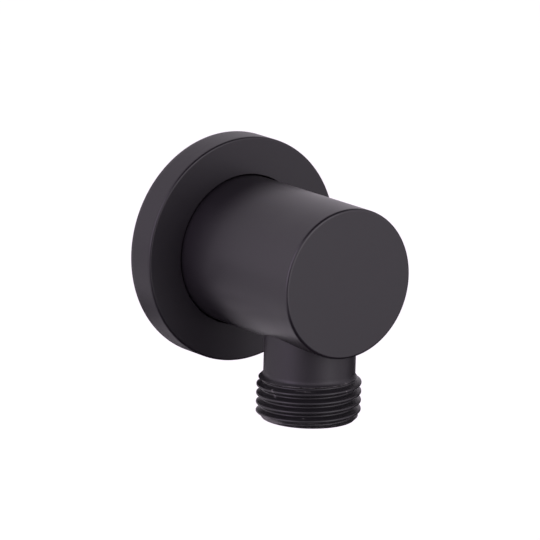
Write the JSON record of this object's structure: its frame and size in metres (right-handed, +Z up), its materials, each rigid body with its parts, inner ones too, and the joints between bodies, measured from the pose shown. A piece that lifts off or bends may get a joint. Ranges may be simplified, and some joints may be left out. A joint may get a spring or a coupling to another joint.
{
  "type": "wall outlet elbow",
  "caption": "Round wall outlet elbow for a shower hose: matte black barrel out of a wall flange, threaded inlet behind, threaded hose outlet pointing down.",
  "frame": {"origin": "centre of the flange's back face, on the barrel's axis in the plane of the wall", "axes": "+Y into the wall along the barrel and the inlet, -Z along the hose outlet, +Z up, +X to the right seen from the room"},
  "size_m": [0.046, 0.056, 0.0526],
  "materials": {
    "black_coat": "matte black coat on turned brass",
    "black_thread": "thin satin black coat on turned brass",
    "ring_rubber": "moulded rubber"
  },
  "bodies": {
    "root": {"elbow_barrel": "black_coat", "outlet_nipple": "black_thread", "wall_flange": "black_coat", "flange_o_ring": "ring_rubber"}
  },
  "joints": []
}
